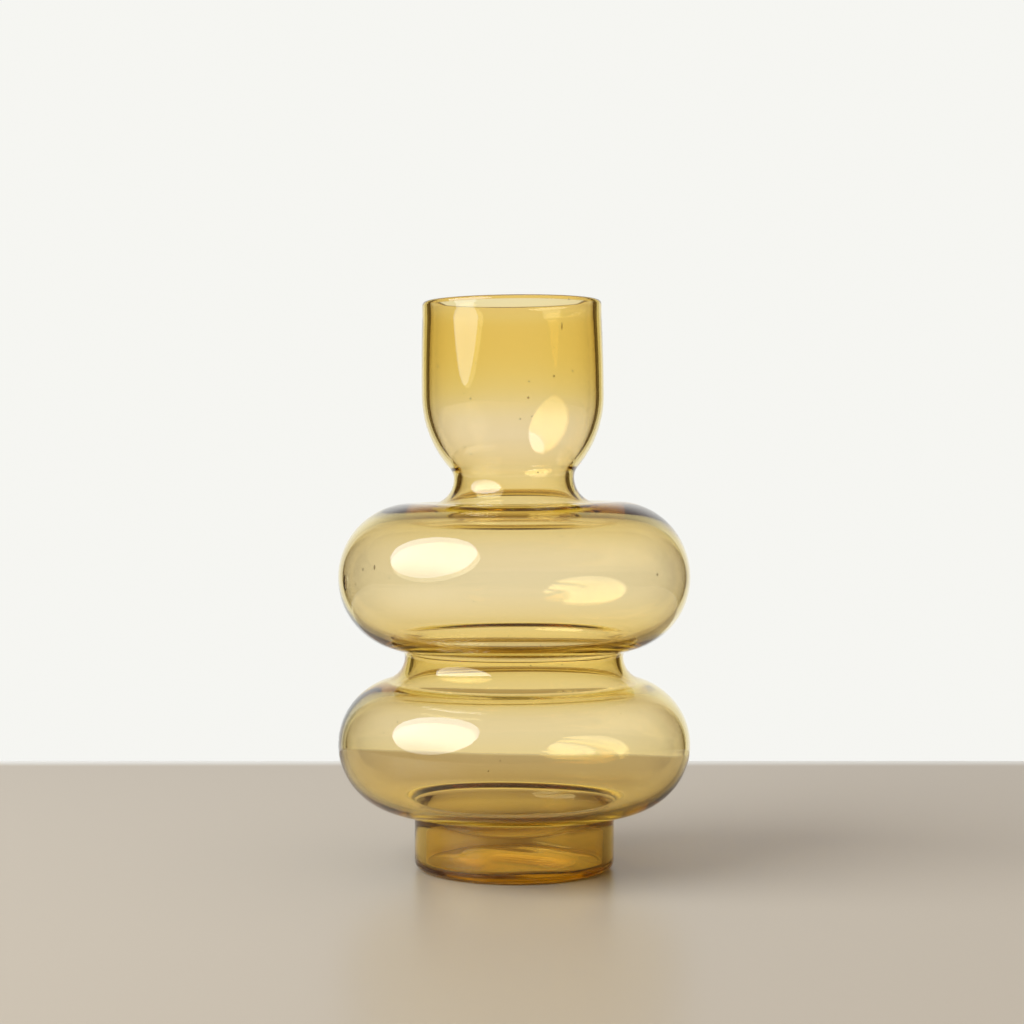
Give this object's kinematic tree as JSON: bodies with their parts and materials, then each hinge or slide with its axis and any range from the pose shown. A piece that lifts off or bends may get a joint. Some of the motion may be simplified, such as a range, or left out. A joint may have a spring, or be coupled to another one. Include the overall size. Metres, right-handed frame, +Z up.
{
  "type": "gourd vase",
  "caption": "Hollow amber glass vase for stems and water: straight cup mouth, narrow neck, round bulbs stacked one on the other, short round foot.",
  "frame": {"origin": "centre of the resting ring, on the surface that the vase stands on", "axes": "+Z up along the axis that the vase is turned about; it is the same all round"},
  "size_m": [0.1244, 0.1244, 0.2001],
  "materials": {
    "amber_glass": "clear, fire-polished, amber all through"
  },
  "bodies": {
    "root": {"base": "amber_glass", "foot": "amber_glass", "lower_bulb": "amber_glass", "waist": "amber_glass", "upper_bulb": "amber_glass", "neck": "amber_glass", "cup": "amber_glass", "lip": "amber_glass"}
  },
  "joints": []
}
